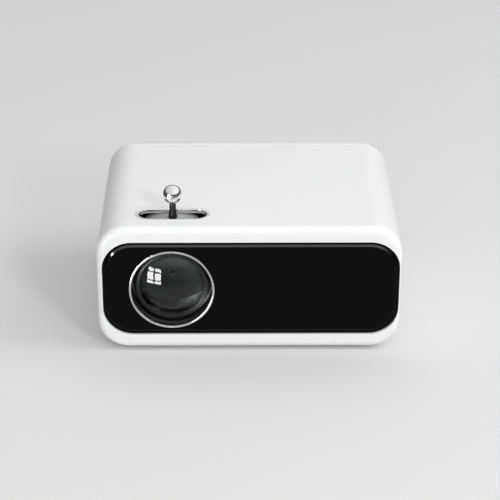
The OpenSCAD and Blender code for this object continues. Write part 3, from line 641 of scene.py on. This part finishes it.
def build_slot_trim():
    a, b = low("slot_trim"), high("slot_trim")
    mid = (a + b) / 2
    length, width = b.x - a.x, b.y - a.y
    top, flange = b.z, b.z - 0.3 * MM
    inner, shoulder = 1.65 * MM, 1.05 * MM
    edge, r = 0.12 * MM, 0.55 * MM
    profile = [(0, flange), (0, top - edge), (edge, top)]
    for k in range(7):
        t = math.radians(90 * k / 6)
        profile.append((inner - r * (1 - math.sin(t)), top - r * (1 - math.cos(t))))
    profile += [(inner, a.z), (shoulder, a.z), (shoulder, flange)]
    bm = bmesh.new()
    rings = [[Vector((x, y, z)) for x, y in
              moved(stadium(length - 2 * i, width - 2 * i, 40), mid.x, mid.y)]
             for i, z in profile]
    add_rings(bm, rings, loop=True)
    piece = finish_mesh("slot_bezel", bm, 40)
    install(piece, "slot_trim", TRIM, "chassis")


def build_feet():
    bm = bmesh.new()
    r, h = FOOT_R, high("rubber_feet").z
    profile = [(0, 0.25 * MM), (3.4 * MM, 0.25 * MM), (3.6 * MM, 0), (4.4 * MM, 0),
               (4.6 * MM, 0.25 * MM), (5.0 * MM, 0.25 * MM), (5.2 * MM, 0), (r - 0.4 * MM, 0),
               (r - 0.1 * MM, 0.12 * MM), (r, 0.4 * MM), (r, h - 0.1 * MM), (r - 0.1 * MM, h),
               (0, h)]
    parts = [lathe("foot", profile, p, axis="z", steps=64) for p in FEET]
    for part in parts:
        bm.from_mesh(part.data)
        bpy.data.objects.remove(part)
    piece = finish_mesh("feet", bm)
    install(piece, "rubber_feet", RUBBER, "chassis")


# ---------------------------------------------------------------- lens and lever
def build_shroud():
    a, b = low("lens_shroud"), high("lens_shroud")
    y0, y1 = a.y, b.y
    r_in, r_out = 19.4 * MM, 20.4 * MM
    ridge, pitch = 0.22 * MM, 0.9 * MM
    profile = [(r_out, y0), (r_in + 0.15 * MM, y0), (r_in, y0 + 0.15 * MM)]
    y = y0 + 0.8 * MM
    while y + pitch < y1 - 0.4 * MM:
        profile += [(r_in, y), (r_in + ridge, y + 0.25 * MM), (r_in + ridge, y + 0.45 * MM),
                    (r_in, y + 0.7 * MM)]
        y += pitch
    flange_r, flange_y = 24 * MM, low("front_frame").y + 2.1 * MM
    flange_back = flange_y + 1.4 * MM
    profile += [(r_in, y1), (r_out, y1), (r_out, flange_back), (flange_r, flange_back),
                (flange_r, flange_y), (r_out, flange_y)]
    profile = [(r, y - y0) for r, y in profile]
    piece = lathe("shroud_tube", profile, Vector((LENS.x, y0, LENS.z)), steps=160)
    install(piece, "lens_shroud", SHROUD, "chassis")


def build_lens_group():
    y0 = low("lens_barrel").y
    centre = Vector((LENS.x, y0, LENS.z))
    outer = 17.3 * MM
    length = high("lens_barrel").y - y0
    barrel = ([(16.65 * MM, 0)] + arc(outer - 0.3 * MM, 0.3 * MM, 0.3 * MM, 270, 360, 5)
              + [(outer, length), (15.8 * MM, length), (15.8 * MM, 12 * MM), (14.8 * MM, 12 * MM),
                 (14.8 * MM, 9 * MM), (16.65 * MM, 9 * MM)])
    piece = lathe("barrel_tube", barrel, centre, steps=160)
    install(piece, "lens_barrel", BARREL, "lens_cell")
    keeper = ([(16.6 * MM, 1.6 * MM), (15.5 * MM, 1.6 * MM), (15.5 * MM, 1.15 * MM)]
              + arc(15.75 * MM, 0.45 * MM, 0.25 * MM, 180, 250, 3)
              + [(15.95 * MM, 0.2 * MM), (16.45 * MM, 0.2 * MM), (16.6 * MM, 0.3 * MM)])
    piece = lathe("lens_keeper_ring", keeper, centre, steps=160)
    install(piece, "lens_retainer", BARREL, "lens_cell")
    glass_r, dome_r, apex = 15.4 * MM, 28 * MM, -3.2 * MM
    dome = [(0, apex)]
    edge = math.asin(glass_r / dome_r)
    for k in range(1, 25):
        t = edge * k / 24
        dome.append((dome_r * math.sin(t), apex + dome_r * (1 - math.cos(t))))
    dome += [(glass_r, 1.7 * MM), (16.55 * MM, 1.72 * MM), (16.55 * MM, 8.8 * MM),
             (15.9 * MM, 8.9 * MM), (0, 8.9 * MM)]
    piece = lathe("front_element", dome, centre, steps=160)
    install(piece, "front_lens", FRONT_GLASS, "lens_cell")
    # Only the dome in front mirrors the window
    piece.data.materials.append(LENS_GLASS)
    for face in piece.data.polygons:
        if face.normal.y > -0.5 or face.center.y > y0 + 1.6 * MM:
            face.material_index = 1


def build_lever():
    a, b = low("lever_knob"), high("lever_knob")
    r = (b.x - a.x) / 2
    centre = Vector(((a.x + b.x) / 2, (a.y + b.y) / 2, b.z - r))
    flat = 0.35 * MM - r
    neck = math.sqrt(r * r - flat * flat)
    profile = [(0, flat + 0.3 * MM), (1.62 * MM, flat + 0.3 * MM), (neck - 0.05 * MM, flat)]
    start = math.degrees(math.asin(flat / r)) + 2
    for k in range(41):
        t = math.radians(start + (90 - start) * k / 41)
        profile.append((r * math.cos(t), r * math.sin(t)))
    profile.append((0, r))
    piece = lathe("knob_ball", profile, centre, axis="z", steps=96, smooth_angle=50)
    install(piece, "lever_knob", CHROME, "focus_lever")
    # Radius and height above the lens axis, in millimetres
    reach = [(0, 25), (1.35, 25), (1.5, 25.2), (1.5, 30.95), (2.15, 30.95), (2.2, 31.05),
             (2.12, 31.7), (1.95, 32.5), (1.78, 33.4), (1.67, 34.4), (1.6, 35.6), (1.58, 38),
             (1.6, 40.6), (1.45, 40.9), (0, 40.9)]
    post = [(r_mm * MM, h_mm * MM) for r_mm, h_mm in reach]
    base = Vector((centre.x, centre.y, LENS.z))
    piece = lathe("post_stem", post, base, axis="z", steps=64)
    install(piece, "lever_post", SATIN_BLACK, "focus_lever")


build_sleeve()
build_rear_cover()
build_front_panel()
build_trim_ring()
build_slot_trim()
build_feet()
build_shroud()
build_lens_group()
build_lever()

# CAD nodes whose shape is right keep their meshes and get their own finishes
for entry in frame["record"]["subparts"]:
    dress(NODES[entry["node"]], SLOT_MATERIALS[entry["material_slot"]])


# ---------------------------------------------------------------- stage, light, camera
def build_stage():
    """A pale floor that curves up into a wall behind; gloss doesn't mirror it."""
    bm = bmesh.new()
    half, back, wall_top, bend = 3.0, 2.0, 2.5, 0.8
    run = [(-half, 0.0), (back - bend, 0.0)]
    for k in range(1, 13):
        a = math.radians(90 * k / 12)
        run.append((back - bend + bend * math.sin(a), bend * (1 - math.cos(a))))
    run.append((back, wall_top))
    rows = [[bm.verts.new((x, y, z)) for y, z in run] for x in (-half, half)]
    for i in range(len(run) - 1):
        bm.faces.new((rows[0][i], rows[0][i + 1], rows[1][i + 1], rows[1][i]))
    floor = finish_mesh("floor", bm, 60)
    dress(floor, surface("pale_floor", (0.72, 0.72, 0.72), 0.7, tint=0.01, patch=3, grain=300,
                         relief=0.02))
    floor.visible_glossy = False


def area_light(name, place, aim, size, radiance, size_y=None, in_reflections=True):
    """A rectangular lamp that faces a point; its power follows from the radiance of its face."""
    size_y = size_y or size
    data = bpy.data.lights.new(name, "AREA")
    data.shape = "RECTANGLE"
    data.size = size
    data.size_y = size_y
    data.energy = radiance * math.pi * size * size_y
    lamp = bpy.data.objects.new(name, data)
    lamp.location = place
    lamp.rotation_euler = (Vector(aim) - Vector(place)).to_track_quat("-Z", "Y").to_euler()
    lamp.visible_glossy = in_reflections
    bpy.context.scene.collection.objects.link(lamp)
    return lamp


def direction(azimuth, elevation):
    """Unit vector; azimuth in degrees from the front towards +X."""
    a, e = math.radians(azimuth), math.radians(elevation)
    return Vector((math.sin(a) * math.cos(e), -math.cos(a) * math.cos(e), math.sin(e)))


def lamp_grid(name, azimuth, elevation, distance, columns, rows, radiance):
    """Panes side by side, given as (offset, width) and (offset, height) in metres, all facing
    the glass."""
    eye = Vector((LENS.x, FRONT_Y, LENS.z))
    out = direction(azimuth, elevation)
    across = Vector((0, 0, 1)).cross(out).normalized()
    up = out.cross(across)
    lamps = []
    for u, w in columns:
        for v, h in rows:
            place = eye + out * distance + across * u + up * v
            lamps.append(area_light(name, place, place - out, w, radiance, h))
    return lamps


def soft_box(name, azimuth, elevation, distance, size, light_level):
    """A soft lamp that lights the object evenly but doesn't show in its gloss; light_level is
    what it lays on a surface that faces it."""
    aim = Vector((0, 0, MID_Z))
    radiance = light_level * distance ** 2 / size ** 2
    area_light(name, aim + direction(azimuth, elevation) * distance, aim, size, radiance,
               in_reflections=False)


def build_lights():
    soft_box("key", 28, 26, 1.6, 0.3, 0.82)
    soft_box("fill", -25, 2, 1.6, 0.9, 0.88)
    soft_box("side", 80, 40, 1.6, 0.9, 1.0)
    # A window to the front left, seen in the glass as six panes
    panes = lamp_grid("pane", -37, -2, 0.75, ((-0.102, 0.165), (0.102, 0.165)),
                      ((-0.18, 0.08), (-0.015, 0.19), (0.155, 0.09)), 27)
    for lamp in panes:
        lamp.visible_diffuse = False
    lamp_grid("spot", -1, 2, 1.0, ((-0.04, 0.035), (0.04, 0.035)),
              ((-0.045, 0.035), (0.045, 0.035)), 9)


def brightness_ramp(tree, height, start, stop, at_start, at_stop):
    """A smooth change of brightness with the height of the direction looked in."""
    ramp = tree.nodes.new("ShaderNodeMapRange")
    ramp.interpolation_type = "SMOOTHSTEP"
    ramp.inputs["From Min"].default_value = start
    ramp.inputs["From Max"].default_value = stop
    ramp.inputs["To Min"].default_value = at_start
    ramp.inputs["To Max"].default_value = at_stop
    tree.links.new(height, ramp.inputs["Value"])
    return ramp.outputs["Result"]


def build_world():
    """A room that is bright above, dark near the horizon and a little brighter to the right."""
    world = bpy.data.worlds.new("studio")
    world.use_nodes = True
    tree = world.node_tree
    back = tree.nodes["Background"]
    back.inputs["Color"].default_value = (1, 1, 1, 1)
    coords = tree.nodes.new("ShaderNodeTexCoord")
    slope = tree.nodes.new("ShaderNodeVectorMath")
    slope.operation = "DOT_PRODUCT"
    slope.inputs[1].default_value = (0.28, 0, 0)
    level = tree.nodes.new("ShaderNodeMath")
    level.operation = "ADD"
    level.inputs[1].default_value = 0.84
    tree.links.new(coords.outputs["Generated"], slope.inputs[0])
    tree.links.new(slope.outputs["Value"], level.inputs[0])
    split = tree.nodes.new("ShaderNodeSeparateXYZ")
    tree.links.new(coords.outputs["Generated"], split.inputs[0])
    height = split.outputs["Z"]
    dark = 0.12
    ceiling = brightness_ramp(tree, height, 0.2, 0.5, dark, 1.0)
    # What gloss sees below the horizon, in place of the floor
    ground = brightness_ramp(tree, height, -0.5, -0.15, 0.7, dark)
    brighter = tree.nodes.new("ShaderNodeMath")
    brighter.operation = "MAXIMUM"
    tree.links.new(ceiling, brighter.inputs[0])
    tree.links.new(ground, brighter.inputs[1])
    product = tree.nodes.new("ShaderNodeMath")
    product.operation = "MULTIPLY"
    tree.links.new(level.outputs["Value"], product.inputs[0])
    tree.links.new(brighter.outputs["Value"], product.inputs[1])
    tree.links.new(product.outputs["Value"], back.inputs["Strength"])
    bpy.context.scene.world = world


def build_camera():
    data = bpy.data.cameras.new("camera")
    data.sensor_width = 36
    data.lens = 127.04
    data.clip_end = 20
    camera = bpy.data.objects.new("camera", data)
    yaw, pitch, roll = 0.011, 0.454, 0.003
    forward = Vector((math.sin(yaw) * math.cos(pitch), math.cos(yaw) * math.cos(pitch),
                      -math.sin(pitch)))
    right = Vector((math.cos(yaw), -math.sin(yaw), 0))
    up = right.cross(forward)
    right, up = (right * math.cos(roll) + up * math.sin(roll),
                 up * math.cos(roll) - right * math.sin(roll))
    turn = Matrix((right, up, -forward)).transposed().to_4x4()
    camera.matrix_world = Matrix.Translation((-0.00796, -0.80185, 0.4187)) @ turn
    bpy.context.scene.collection.objects.link(camera)
    bpy.context.scene.camera = camera


build_stage()
build_lights()
build_world()
build_camera()
bpy.context.scene.view_settings.view_transform = "Standard"
